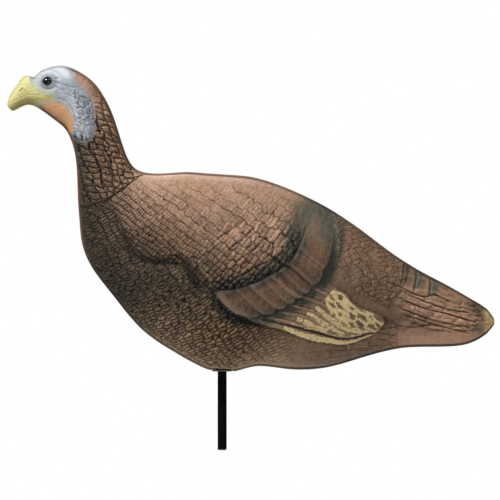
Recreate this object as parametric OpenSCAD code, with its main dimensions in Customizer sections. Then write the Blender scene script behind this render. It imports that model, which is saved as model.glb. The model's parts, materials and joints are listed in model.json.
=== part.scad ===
// Hen turkey decoy on a telescoping ground stake.
// Two moulded foam half shells meet in the plane y = 0 and are welded along a flat rim.
// The bird faces -X, its left side is -Y, and +Z is up. Everything is in millimetres.
// The origin is the centre of the stake tube's lower end, on the stake's axis.

/* [Body] */
// Length from the beak to the tail tip
body_length = 684; // [640:1:720]
// Width of the body across both shells at its widest
body_width = 168; // [150:1:180]
// How much the sides bulge: lower is boxier
side_fullness = 0.86; // [0.75:0.01:1]
// Where the widest line runs: below 1 moves it towards the belly
belly_sag = 0.88; // [0.8:0.01:1]

/* [Foam] */
// Thickness of the moulded foam sheet
foam_wall = 3.6; // [3:0.1:4.5]
// Width of the welded rim round the outline
rim_width = 3.6; // [3:0.1:5]
// Thickness of the rim on each shell, pressed thinner than the sheet
rim_thickness = 2; // [1.5:0.1:2.5]

/* [Eyes] */
// Diameter of the eye's glossy dome
eye_diameter = 12; // [10:0.5:13]
// Height that the dome stands out of the foam
eye_height = 3; // [2:0.5:4]

/* [Stake] */
// Outside diameter of the stake tube
tube_diameter = 12.7; // [12:0.1:13]
// Wall of the stake tube
tube_wall = 1.2; // [1:0.1:1.5]
// Diameter of the ground rod that slides in the tube
rod_diameter = 9; // [8:0.1:9.2]
// How far the ground rod draws out
rod_travel = 180; // [120:5:200]
// Gap round the stake where the decoy turns on it
turning_gap = 0.4; // [0.3:0.05:0.6]

/* [Hidden] */
fine = 96;

// Stations from the beak tip to the tail tip. Each is a slice through the shell:
// [lower edge x, lower edge z, upper edge x, upper edge z, half width as a share of the widest]
stations = [
    [-301, 481, -301, 481, 0],
    [-294, 473, -298, 494, 0.06],
    [-283, 478, -288, 509, 0.10],
    [-270, 483, -276, 523, 0.14],
    [-257, 477, -263, 526, 0.19],
    [-244, 468, -246, 533, 0.24],
    [-231, 458, -227, 538, 0.28],
    [-220, 449, -203, 530, 0.30],
    [-212, 434, -178, 512, 0.31],
    [-206, 414, -158, 480, 0.31],
    [-203, 385, -146, 447, 0.33],
    [-202, 349, -135, 413, 0.38],
    [-199, 312, -122, 392, 0.49],
    [-196, 284, -102, 386, 0.63],
    [-182, 253, -78, 386, 0.76],
    [-151, 213, -50, 388, 0.88],
    [-112, 166, -22, 386, 0.96],
    [-64, 134, 8, 384, 1],
    [-22, 112, 42, 381, 1],
    [14, 108, 76, 371, 0.97],
    [50, 117, 112, 356, 0.91],
    [98, 111, 151, 336, 0.82],
    [148, 114, 193, 308, 0.70],
    [202, 130, 235, 276, 0.56],
    [252, 142, 274, 251, 0.42],
    [302, 143, 314, 230, 0.30],
    [342, 146, 347, 211, 0.20],
    [370, 161, 371, 196, 0.11],
    [383, 178, 383, 178, 0]
];
drawn_length = 684;
size = body_length / drawn_length;
last = len(stations) - 1;
rings_per_station = 2;
rings = last * rings_per_station - 1;

outer_steps = 18;
inner_steps = 12;
// Columns of one outer ring: the curved side and three points for the rim at each end
columns = outer_steps + 5;
inner_columns = inner_steps + 1;
// The beak and the tail tip are solid foam, so the hollow runs between these rings
first_hollow = 7;
last_hollow = rings - 4;

// Heights where the stake passes the belly and the back, on the stake's axis
belly_z = 108 * size;
back_z = 384 * size;
grommet_seat = belly_z + 2.6;
washer_seat = grommet_seat + 4;

// Stake, from its foot up
tube_radius = tube_diameter / 2;
tube_bore = tube_radius - tube_wall;
tube_top = back_z - 27;
groove_z = belly_z - 6;
groove_height = 1.5;
groove_depth = 0.4;
cap_height = 4;
bush_lip = 1.4;
bush_depth = 20;
rod_radius = rod_diameter / 2;
sliding_gap = 0.06;
stop_height = 6;
rod_tip = -bush_lip + 0.4;
stop_z = bush_depth + rod_travel + 0.3;
rod_top = stop_z + 56;
point_length = 26;
guide_radius = tube_bore - 0.3;
guide_height = 10;

// Grommet and saddle
grommet_bore = tube_radius + turning_gap;
sleeve_radius = grommet_bore + 2.2;
grommet_flange = sleeve_radius + 5;
grommet_lip = 1.8;
washer_height = 2;
cup_bore = tube_radius + 0.3;
cup_radius = cup_bore + 2;
cup_head = cup_radius + 1.3;
cup_top = tube_top + cap_height + 2.5;
cup_bottom = tube_top - 9;
head_height = 6;
saddle_wall = 2.4;
saddle_radius = 22;
saddle_crest = back_z - 6.2;
// The saddle's rounded top follows the inside of the back, which falls towards the tail
saddle_round = 46;
back_slope = 4;

// A smooth value between b and c, with a and d beyond them
function smooth(a, b, c, d, u) =
    (2 * b + (c - a) * u + (2 * a - 5 * b + 4 * c - d) * u * u
    + (3 * b - a - 3 * c + d) * u * u * u) / 2;

// The slice at a place along the bird, counted in stations
function slice(place) =
    let (i = min(floor(place), last - 1))
    smooth(stations[max(i - 1, 0)], stations[i], stations[i + 1],
        stations[min(i + 2, last)], place - i);

function low_edge(cut) = size * [cut[0], 0, cut[1]];
function high_edge(cut) = size * [cut[2], 0, cut[3]];
function half_width(cut) = max(cut[4], 0) * body_width / 2;

// A point of a slice: share along it from its lower edge, and depth towards the left
function in_slice(cut, along, depth) =
    low_edge(cut) * (1 - along) + high_edge(cut) * along - [0, depth, 0];

// The bulging side between two rims, at angle from 0, the lower edge, to 180, the upper
function side_point(cut, angle, inset, floor_depth, width) =
    let (
        span = norm(high_edge(cut) - low_edge(cut)),
        edge = min(inset / span, 0.4),
        along = edge + (1 - 2 * edge) * (1 - cos(angle)) / 2,
        sag = 180 * pow(angle / 180, belly_sag)
    )
    in_slice(cut, along, floor_depth + (width - floor_depth) * pow(max(sin(sag), 0), side_fullness));

function rim_share(cut) = min(rim_width / norm(high_edge(cut) - low_edge(cut)), 0.18);

function outer_ring(cut) =
    let (rim = rim_share(cut), thick = min(rim_thickness, half_width(cut) * 0.5))
    concat(
        [in_slice(cut, 0, 0), in_slice(cut, 0, thick)],
        [for (j = [0:outer_steps])
            side_point(cut, 180 * j / outer_steps, rim_share(cut) * norm(high_edge(cut) - low_edge(cut)),
                thick, half_width(cut))],
        [in_slice(cut, 1, thick), in_slice(cut, 1, 0)]
    );

function inner_ring(cut) =
    [for (j = [0:inner_steps])
        side_point(cut, 180 * j / inner_steps, rim_width + foam_wall * 0.85, 0,
            half_width(cut) - foam_wall)];

function middle(cut) = in_slice(cut, 0.5, 0);

// Numbering of the shell's points
function outer(i, j) = 1 + (i - 1) * columns + j;
tail_pole = 1 + rings * columns;
front_hollow_pole = tail_pole + 1;
function inner(i, j) = front_hollow_pole + 1 + (i - first_hollow) * inner_columns + j;
rear_hollow_pole = inner(last_hollow, inner_columns - 1) + 1;
top_column = columns - 1;
top_inner = inner_columns - 1;

function quad(a, b, c, d) = [[a, b, c], [a, c, d]];

shell_points = concat(
    [middle(slice(0))],
    [for (i = [1:rings]) each outer_ring(slice(i / rings_per_station))],
    [middle(slice(last))],
    [middle(slice((first_hollow - 0.5) / rings_per_station))],
    [for (i = [first_hollow:last_hollow]) each inner_ring(slice(i / rings_per_station))],
    [middle(slice((last_hollow + 0.5) / rings_per_station))]
);

outer_faces = concat(
    [for (j = [0:columns - 2]) [0, outer(1, j + 1), outer(1, j)]],
    [for (i = [1:rings - 1], j = [0:columns - 2])
        each quad(outer(i, j), outer(i, j + 1), outer(i + 1, j + 1), outer(i + 1, j))],
    [for (j = [0:columns - 2]) [outer(rings, j), outer(rings, j + 1), tail_pole]]
);

inner_faces = concat(
    [for (j = [0:inner_columns - 2])
        [front_hollow_pole, inner(first_hollow, j), inner(first_hollow, j + 1)]],
    [for (i = [first_hollow:last_hollow - 1], j = [0:inner_columns - 2])
        each quad(inner(i, j), inner(i + 1, j), inner(i + 1, j + 1), inner(i, j + 1))],
    [for (j = [0:inner_columns - 2])
        [inner(last_hollow, j), rear_hollow_pole, inner(last_hollow, j + 1)]]
);

// The flat face where the two shells are welded: solid at both ends, and a rim round the hollow
before = first_hollow - 1;
after = last_hollow + 1;
weld_faces = concat(
    [[0, outer(1, 0), outer(1, top_column)]],
    [for (i = [1:before - 1])
        each quad(outer(i, 0), outer(i + 1, 0), outer(i + 1, top_column), outer(i, top_column))],
    [[outer(before, 0), front_hollow_pole, outer(before, top_column)]],
    quad(outer(before, 0), outer(first_hollow, 0), inner(first_hollow, 0), front_hollow_pole),
    quad(front_hollow_pole, inner(first_hollow, top_inner), outer(first_hollow, top_column),
        outer(before, top_column)),
    [for (i = [first_hollow:last_hollow - 1])
        each quad(outer(i, 0), outer(i + 1, 0), inner(i + 1, 0), inner(i, 0))],
    [for (i = [first_hollow:last_hollow - 1])
        each quad(inner(i, top_inner), inner(i + 1, top_inner), outer(i + 1, top_column),
            outer(i, top_column))],
    quad(outer(last_hollow, 0), outer(after, 0), rear_hollow_pole, inner(last_hollow, 0)),
    quad(inner(last_hollow, top_inner), rear_hollow_pole, outer(after, top_column),
        outer(last_hollow, top_column)),
    [[rear_hollow_pole, outer(after, 0), outer(after, top_column)]],
    [for (i = [after:rings - 1])
        each quad(outer(i, 0), outer(i + 1, 0), outer(i + 1, top_column), outer(i, top_column))],
    [[outer(rings, 0), tail_pole, outer(rings, top_column)]]
);

// The eye sits on the side of the head, at this place along the bird and up the slice
eye_place = 5.08;
eye_angle = 119;
function head_skin(place, angle) =
    let (cut = slice(place))
    side_point(cut, angle, rim_width, rim_thickness, half_width(cut));
eye_point = head_skin(eye_place, eye_angle);
eye_normal = let (
    along = head_skin(eye_place + 0.1, eye_angle) - head_skin(eye_place - 0.1, eye_angle),
    up = head_skin(eye_place, eye_angle + 4) - head_skin(eye_place, eye_angle - 4),
    n = cross(along, up)
) n / norm(n);
eye_seat = 2;
stem_radius = 1.5;
stem_length = 9;
eye_washer_radius = 4.5;
eye_washer_height = 1.2;
eye_washer_place = -(foam_wall + 1.8);

// Puts its children on the left eye's place, with +Z pointing out of the head
module at_eye() {
    translate(eye_point)
        rotate([0, acos(eye_normal[2]), atan2(eye_normal[1], eye_normal[0])])
            children();
}

module mirrored(right) {
    if (right) mirror([0, 1, 0]) children();
    else children();
}

module ring(outside, inside, bottom, top) {
    translate([0, 0, bottom])
        difference() {
            cylinder(r = outside, h = top - bottom, $fn = fine);
            translate([0, 0, -1]) cylinder(r = inside, h = top - bottom + 2, $fn = fine);
        }
}

// One foam half shell, with the seats for the grommet and for the eye
module shell() {
    difference() {
        polyhedron(points = shell_points, faces = concat(outer_faces, inner_faces, weld_faces),
            convexity = 12);
        translate([0, 0, belly_z - 12])
            cylinder(r = grommet_flange + 0.2, h = grommet_seat - belly_z + 12, $fn = fine);
        translate([0, 0, belly_z - 12])
            cylinder(r = sleeve_radius, h = 40, $fn = fine);
        translate([0, 0, washer_seat])
            cylinder(r = grommet_flange - 1.3, h = 20, $fn = fine);
        at_eye() {
            translate([0, 0, -eye_seat])
                cylinder(r = eye_diameter / 2, h = 12, $fn = fine);
            translate([0, 0, -14])
                cylinder(r = stem_radius, h = 20, $fn = fine);
        }
    }
}

module left_shell() {
    color([0.42, 0.31, 0.24]) shell();
}

module right_shell() {
    color([0.42, 0.31, 0.24]) mirror([0, 1, 0]) shell();
}

// A domed bead on a stem that is pushed through the foam
module eye(right) {
    dome_radius = (pow(eye_diameter / 2, 2) + pow(eye_height, 2)) / (2 * eye_height);
    mirrored(right) at_eye()
        color([0.03, 0.03, 0.03]) {
            intersection() {
                translate([0, 0, eye_height - dome_radius]) sphere(r = dome_radius, $fn = fine);
                cylinder(r = eye_diameter / 2, h = eye_height + 1, $fn = fine);
            }
            translate([0, 0, -eye_seat]) cylinder(r = eye_diameter / 2, h = eye_seat, $fn = fine);
            translate([0, 0, -stem_length]) cylinder(r = stem_radius, h = stem_length, $fn = fine);
        }
}

module eye_washer(right) {
    mirrored(right) at_eye()
        color([0.9, 0.9, 0.88])
            ring(eye_washer_radius, stem_radius,
                eye_washer_place - eye_washer_height, eye_washer_place);
}

// Flanged eyelet that lines the stake hole in the belly
module belly_grommet() {
    color([0.10, 0.09, 0.08])
        difference() {
            union() {
                translate([0, 0, grommet_seat - grommet_lip])
                    cylinder(r = grommet_flange, h = grommet_lip, $fn = fine);
                translate([0, 0, grommet_seat])
                    cylinder(r = sleeve_radius, h = washer_seat - grommet_seat + 6, $fn = fine);
            }
            translate([0, 0, belly_z - 10]) cylinder(r = grommet_bore, h = 40, $fn = fine);
        }
}

module grommet_washer() {
    color([0.10, 0.09, 0.08])
        ring(grommet_flange - 1.4, sleeve_radius, washer_seat, washer_seat + washer_height);
}

// Rounded pad glued under the back, with a socket that the pivot cup turns in
module back_saddle() {
    socket = cup_head + turning_gap;
    color([0.12, 0.12, 0.12])
        difference() {
            union() {
                intersection() {
                    translate([0, 0, cup_top]) cylinder(r = saddle_radius, h = 30, $fn = fine);
                    translate([0, 0, saddle_crest - saddle_round]) rotate([0, 90 + back_slope, 0])
                        cylinder(r = saddle_round, h = 80, center = true, $fn = fine);
                }
                translate([0, 0, cup_top - head_height - saddle_wall - 1])
                    cylinder(r = socket + saddle_wall, h = head_height + saddle_wall + 2, $fn = fine);
            }
            translate([0, 0, cup_top - head_height - 0.7])
                cylinder(r = socket, h = head_height + 1, $fn = fine);
            translate([0, 0, cup_bottom - 5])
                cylinder(r = cup_radius + turning_gap, h = 30 + 5 - head_height, $fn = fine);
        }
}

// Cup on the stake's top. Its head snaps into the saddle's socket, and the decoy turns round it
module pivot_cup() {
    color([0.85, 0.84, 0.8])
        difference() {
            union() {
                translate([0, 0, cup_bottom])
                    cylinder(r = cup_radius, h = cup_top - cup_bottom, $fn = fine);
                translate([0, 0, cup_top - head_height])
                    cylinder(r = cup_head, h = head_height, $fn = fine);
            }
            translate([0, 0, cup_bottom - 1])
                cylinder(r = cup_bore, h = tube_top + cap_height + 0.2 - cup_bottom + 1, $fn = fine);
        }
}

module stake_tube() {
    color([0.02, 0.02, 0.02])
        difference() {
            cylinder(r = tube_radius, h = tube_top, $fn = fine);
            translate([0, 0, -1]) cylinder(r = tube_bore, h = tube_top + 2, $fn = fine);
            ring(tube_radius + 2, tube_radius - groove_depth, groove_z, groove_z + groove_height);
        }
}

module tube_cap() {
    color([0.05, 0.05, 0.05])
        union() {
            translate([0, 0, tube_top - 14]) cylinder(r = tube_bore, h = 14, $fn = fine);
            translate([0, 0, tube_top])
                cylinder(r1 = tube_radius, r2 = tube_radius - 2, h = cap_height, $fn = fine);
        }
}

// Bush pressed into the tube's foot. The ground rod slides in it
module foot_bush() {
    color([0.04, 0.04, 0.04])
        difference() {
            union() {
                cylinder(r = tube_bore, h = bush_depth, $fn = fine);
                translate([0, 0, -bush_lip])
                    cylinder(r1 = tube_radius - 0.9, r2 = tube_radius - 0.1, h = bush_lip, $fn = fine);
            }
            translate([0, 0, -5])
                cylinder(r = rod_radius + sliding_gap, h = bush_depth + 10, $fn = fine);
        }
}

// Pointed steel rod, drawn out of the tube and pushed into the ground
module ground_rod() {
    color([0.55, 0.55, 0.56])
        union() {
            translate([0, 0, rod_tip])
                cylinder(r1 = 0.8, r2 = rod_radius, h = point_length, $fn = fine);
            translate([0, 0, rod_tip + point_length])
                cylinder(r = rod_radius, h = rod_top - rod_tip - point_length, $fn = fine);
            translate([0, 0, rod_top - guide_height])
                cylinder(r = guide_radius, h = guide_height, $fn = fine);
        }
}

module rod_stop() {
    color([0.6, 0.6, 0.6])
        ring(guide_radius, rod_radius, stop_z, stop_z + stop_height);
}

left_shell();
right_shell();
eye(false);  // left_eye
eye(true);  // right_eye
eye_washer(false);  // left_eye_washer
eye_washer(true);  // right_eye_washer
belly_grommet();
grommet_washer();
back_saddle();
pivot_cup();
stake_tube();
tube_cap();
foot_bush();
ground_rod();
rod_stop();
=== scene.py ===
import json
import math
import bpy
import numpy as np
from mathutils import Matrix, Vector
from mathutils.bvhtree import BVHTree

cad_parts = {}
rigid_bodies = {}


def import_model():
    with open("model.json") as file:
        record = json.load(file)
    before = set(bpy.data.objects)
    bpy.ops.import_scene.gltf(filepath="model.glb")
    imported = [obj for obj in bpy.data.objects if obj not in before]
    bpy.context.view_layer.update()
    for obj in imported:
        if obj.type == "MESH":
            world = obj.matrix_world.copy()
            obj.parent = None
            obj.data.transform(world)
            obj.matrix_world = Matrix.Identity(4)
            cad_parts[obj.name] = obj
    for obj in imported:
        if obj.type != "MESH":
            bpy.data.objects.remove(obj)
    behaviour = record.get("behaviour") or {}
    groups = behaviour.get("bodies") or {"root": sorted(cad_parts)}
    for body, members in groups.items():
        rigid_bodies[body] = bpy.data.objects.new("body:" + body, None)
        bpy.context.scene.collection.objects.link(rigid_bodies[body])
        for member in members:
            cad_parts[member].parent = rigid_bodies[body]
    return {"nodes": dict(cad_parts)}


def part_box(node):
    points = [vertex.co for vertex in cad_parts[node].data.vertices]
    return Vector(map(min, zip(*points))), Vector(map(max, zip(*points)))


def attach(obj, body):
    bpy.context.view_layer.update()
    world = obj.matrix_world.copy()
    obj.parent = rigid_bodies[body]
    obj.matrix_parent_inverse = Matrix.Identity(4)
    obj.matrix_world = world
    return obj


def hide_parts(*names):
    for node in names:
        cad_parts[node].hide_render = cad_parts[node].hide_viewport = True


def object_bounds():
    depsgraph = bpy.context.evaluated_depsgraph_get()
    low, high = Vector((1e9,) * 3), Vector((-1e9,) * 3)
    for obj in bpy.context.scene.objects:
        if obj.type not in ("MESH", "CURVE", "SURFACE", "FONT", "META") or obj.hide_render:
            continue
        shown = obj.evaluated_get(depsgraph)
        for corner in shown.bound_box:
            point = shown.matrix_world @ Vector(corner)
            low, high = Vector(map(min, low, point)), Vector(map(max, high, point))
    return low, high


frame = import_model()
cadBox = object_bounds()
mm = 0.001


def join(tree, value, socket):
    # a socket takes a number, a colour, a name or another node's output
    if isinstance(value, bpy.types.NodeSocket):
        tree.links.new(value, socket)
    else:
        socket.default_value = (*value, 1) if isinstance(value, tuple) else value


def addNode(tree, kind, inputs=None, **settings):
    node = tree.nodes.new(kind)
    for key, value in settings.items():
        setattr(node, key, value)
    for key, value in (inputs or {}).items():
        join(tree, value, node.inputs[key])
    return node


def newTree(name, kind, inputs, outputs):
    # each socket has a name, and either its kind or the number it starts with
    tree = bpy.data.node_groups.new(name, kind)
    for way, sockets in (("INPUT", inputs), ("OUTPUT", outputs)):
        for label, value in sockets.items():
            number = isinstance(value, float)
            socketType = "NodeSocket" + ("Float" if number else value)
            socket = tree.interface.new_socket(label, in_out=way, socket_type=socketType)
            if number:
                socket.default_value = value
    return tree, addNode(tree, "NodeGroupInput").outputs, addNode(tree, "NodeGroupOutput").inputs


def newMaterial(name):
    material = bpy.data.materials.new(name)
    material.use_nodes = True
    return material, material.node_tree, material.node_tree.nodes["Principled BSDF"]


def middle(box):
    return (Vector(box[0]) + Vector(box[1])) / 2


studio = {
    "frameWidth": 0.700,         # how much the camera takes in at the decoy, side to side
    "distance": 6.0,             # a long lens keeps the side view flat
    "aim": (-0.002, 0.0103),     # how far the camera points past the middle of the decoy's box
    "floorDrop": 0.20,           # the floor clears the ground rod when it is drawn out
    "floorRadius": 1.4,
    "paleFloor": (0.86, 0.86, 0.85),
    "worldLight": 0.11,
    "softboxes": [
        # name, place, size, power
        ("keyLight", (-1.5, -0.95, 2.0), 0.30, 82),
        ("topLight", (0.6, -0.7, 1.9), 0.8, 9),
        ("lowFill", (0.7, -2.4, -0.1), 1.6, 14),
        ("backLight", (-0.4, 2.4, 1.6), 1.6, 34),
    ],
}


def makeCamera(scene, centre):
    lens = bpy.data.cameras.new("sideCamera")
    lens.sensor_width = 36
    lens.lens = lens.sensor_width * studio["distance"] / studio["frameWidth"]
    lens.clip_end = 50
    camera = bpy.data.objects.new("sideCamera", lens)
    camera.location = (centre.x + studio["aim"][0], -studio["distance"], centre.z + studio["aim"][1])
    camera.rotation_euler = (math.pi / 2, 0, 0)
    scene.collection.objects.link(camera)
    scene.camera = camera


def makeLights(scene, centre):
    for name, place, size, power in studio["softboxes"]:
        lamp = bpy.data.lights.new(name, "AREA")
        lamp.size = size
        lamp.energy = power
        box = bpy.data.objects.new(name, lamp)
        box.location = place
        box.rotation_euler = (centre - Vector(place)).to_track_quat("-Z", "Y").to_euler()
        scene.collection.objects.link(box)


def makeWorld(scene):
    # it lights softly and is seen as plain white
    scene.world = bpy.data.worlds.new("paleRoom")
    scene.world.use_nodes = True
    tree = scene.world.node_tree
    tree.nodes.clear()
    lit = addNode(tree, "ShaderNodeBackground", {"Color": (1, 1, 1), "Strength": studio["worldLight"]})
    seen = addNode(tree, "ShaderNodeBackground", {"Color": (1, 1, 1)})
    rays = addNode(tree, "ShaderNodeLightPath")
    mix = addNode(tree, "ShaderNodeMixShader",
                  {0: rays.outputs["Is Camera Ray"], 1: lit.outputs[0], 2: seen.outputs[0]})
    addNode(tree, "ShaderNodeOutputWorld", {0: mix.outputs[0]})


def makeFloor():
    # round, and fades out before its edge
    radius = studio["floorRadius"]
    bpy.ops.mesh.primitive_circle_add(vertices=96, radius=radius, fill_type="NGON",
                                      location=(0, 0, -studio["floorDrop"]))
    floor = bpy.context.object
    floor.name = "floor"
    paint, tree, shader = newMaterial("paleFloor")
    place = addNode(tree, "ShaderNodeTexCoord").outputs["Object"]
    length = addNode(tree, "ShaderNodeVectorMath", {0: place}, operation="LENGTH").outputs["Value"]
    fade = addNode(tree, "ShaderNodeMapRange", {"Value": length, "From Min": 0.3 * radius,
                                                "From Max": 0.95 * radius, "To Min": 1, "To Max": 0})
    join(tree, studio["paleFloor"], shader.inputs["Base Color"])
    join(tree, 0.9, shader.inputs["Roughness"])
    join(tree, fade.outputs["Result"], shader.inputs["Alpha"])
    floor.data.materials.append(paint)


def makeStudio():
    scene = bpy.context.scene
    scene.view_settings.view_transform = "Standard"
    scene.view_settings.look = "None"
    makeCamera(scene, middle(cadBox))
    makeLights(scene, middle(cadBox))
    makeWorld(scene)
    makeFloor()


makeStudio()
print("studio: camera, lights and floor")


def curveThrough(points, count):
    # a smooth curve through rows of numbers
    rows = np.array(points, float)
    rows = np.vstack([2 * rows[0] - rows[1], rows, 2 * rows[-1] - rows[-2]])
    u = np.linspace(0, len(points) - 1, count)
    i = np.minimum(u.astype(int), len(points) - 2)
    t = (u - i)[:, None]
    a, b, c, d = rows[i], rows[i + 1], rows[i + 2], rows[i + 3]
    return 0.5 * (2 * b + (c - a) * t + (2 * a - 5 * b + 4 * c - d) * t**2 + (3 * b - a - 3 * c + d) * t**3)


def blurRows(grid, spread):
    # soft average down the first axis, with both ends held where they are
    reach = int(3 * spread)
    taps = np.exp(-0.5 * (np.arange(-reach, reach + 1) / spread) ** 2)
    taps /= taps.sum()
    head = 2 * grid[:1] - grid[reach:0:-1]
    tail = 2 * grid[-1:] - grid[-2:-reach - 2:-1]
    padded = np.concatenate([head, grid, tail])
    return sum(tap * padded[k:k + len(grid)] for k, tap in enumerate(taps))


def blur(grid, spread):
    return blurRows(blurRows(grid, spread).swapaxes(0, 1), spread).swapaxes(0, 1)


def ramp(value, low, high):
    t = np.clip((value - low) / (high - low), 0, 1)
    return t * t * (3 - 2 * t)


def waves(x, z, seed, size):
    # slow soft unevenness, about -1 to 1
    rng = np.random.default_rng(seed)
    total = np.zeros(x.shape)
    for k in range(6):
        turn = rng.uniform(0, 2 * math.pi)
        step = 2 * math.pi / (size * rng.uniform(0.6, 1.6))
        total += np.sin((x * math.cos(turn) + z * math.sin(turn)) * step + rng.uniform(0, 6.3))
    return total / 3.5


def cellNumber(i, j, seed):
    # a repeatable number from 0 to 1 for each cell
    n = i.astype(np.int64) * 374761393 + j.astype(np.int64) * 668265263 + seed * 2246822519
    n &= 0xFFFFFFFF
    n = ((n ^ (n >> 13)) * 1274126177) & 0xFFFFFFFF
    return ((n ^ (n >> 16)) & 0xFFFF) / 65535.0


bird = {
    # middle of each slice, beak to tail, in mm, and how far the slice stands up from level, in degrees
    "spine": [
        (-301, 481, 100), (-296, 483.5, 101), (-285.5, 493.5, 99), (-273, 503, 98.5), (-260, 501.5, 97),
        (-245, 500.5, 91.8), (-229, 498, 87), (-211.5, 489.5, 78), (-195, 473, 66.4), (-182, 447, 54),
        (-174.5, 416, 47.4), (-168.5, 381, 43.7), (-160.5, 352, 46), (-149, 335, 47.5), (-130, 319.5, 52),
        (-100.5, 300.5, 60), (-67, 276, 67.8), (-28, 259, 74), (10, 246.5, 76.6), (45, 239.5, 76.7),
        (81, 236.5, 75.5), (170.5, 211, 76.9), (263, 196.5, 78.6), (344.5, 178.5, 85.6), (370.5, 178, 88),
        (380.8, 177.5, 90),
    ],
    # how close the rings lie, in mm, at distances along the bird
    "spacing": [(0, 0.6), (9, 1.2), (130, 1.5), (260, 1.8), (700, 1.8), (760, 2.0), (800, 1.4), (826, 0.6)],
    "columns": 180,
    "evenness": 0.75,          # columns: 0 crowds them at the rim, 1 spaces them evenly over the skin
    # the outline's own shape, where the CAD is plainer: place, width and rise
    "brow": [(-263.5, 6, -5.5), (-280, 4, 2.0)],
    "belly": (0, 26, -1.5),    # comes down just past the grommet's flange
    "rimWidth": 3.6,
    "rimThickness": 2.0,
    "rimShare": 0.18,          # the most that a rim may take of a narrow slice
    # the rim from its edge inwards: how deep and how far in, as shares, and how light its paint is made,
    # with painted shade below 1 along the edge and a painted highlight above 1 on its shoulder
    "rimProfile": [(0, 0, 0.8), (0.62, 0.0, 0.9), (0.96, 0.16, 1.15), (1.0, 0.72, 1.0)],
    "deepest": -3.8,           # no carving goes deeper
    "tipReach": 0.4,           # the beak's and the tail's very ends, past the last rings
    "eyeSocket": 8.5,          # inside this radius the skin is bridged over
    "wall": 3.6,
    "carvingRoom": 1.6,        # the lining keeps clear of the carving
    "liningStep": 8,           # the unseen lining has one ring for this many
    "liningColumns": 17,
    "hollowFrom": 32,          # the beak and the tail tip are solid, in mm from their ends
    "hollowTo": 40,
}


def ringPlaces():
    # each ring's distance along the bird, and the spine there
    dense = curveThrough(bird["spine"], 3000)
    arc = np.concatenate([[0], np.cumsum(np.hypot(*np.diff(dense[:, :2], axis=0).T))])
    spacing = np.interp(arc, *np.array(bird["spacing"], float).T)
    tally = np.concatenate([[0], np.cumsum(np.diff(arc) / spacing[1:])])
    at = np.interp(np.linspace(0, tally[-1], int(tally[-1])), tally, arc)
    return at, np.array([np.interp(at, arc, dense[:, k]) for k in range(3)]).T


def readOutline(tree, at, spine):
    # each slice's two ends, found from outside in the plane where the shells meet
    def edge(x, z, dx, dz, away=250):
        start = Vector(((x - away * dx) * mm, -0.1 * mm, (z - away * dz) * mm))
        hit = tree.ray_cast(start, Vector((dx, 0, dz)), away * mm)[0]
        return (hit.x / mm, hit.z / mm) if hit else (np.nan, np.nan)

    lean = np.radians(spine[:, 2])
    up = np.array([np.cos(lean), np.sin(lean)]).T
    low = np.array([edge(x, z, u[0], u[1]) for (x, z, _), u in zip(spine, up)])
    high = np.array([edge(x, z, -u[0], -u[1]) for (x, z, _), u in zip(spine, up)])
    # the stake hole's seat breaks the lower edge
    seat = (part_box("belly_grommet")[1].x + 4 * mm) / mm
    broken = np.isnan(low[:, 0]) | ((np.abs(low[:, 0]) < seat) & (spine[:, 1] < 300))
    for ends, lost in ((low, broken), (high, np.isnan(high[:, 0]))):
        kept = np.flatnonzero(~lost)
        for k in (0, 1):
            ends[:, k] = np.interp(np.arange(len(at)), kept, ends[kept, k])
    # smoothed, but less so where the beak and the tail round off
    calm = ramp(np.minimum(at, at[-1] - at), 6, 30)[:, None]
    low = blurRows(low, 1) + calm * (blurRows(low, 4) - blurRows(low, 1))
    high = blurRows(high, 1) + calm * (blurRows(high, 3) - blurRows(high, 1))
    place, width, rise = bird["belly"]
    low[:, 1] += rise * np.exp(-((low[:, 0] - place) / width) ** 4) * (spine[:, 1] < 300)
    for place, width, rise in bird["brow"]:
        high[:, 1] += rise * np.exp(-((high[:, 0] - place) / width) ** 2) * (spine[:, 1] > 450)
    return low, high, calm


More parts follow.
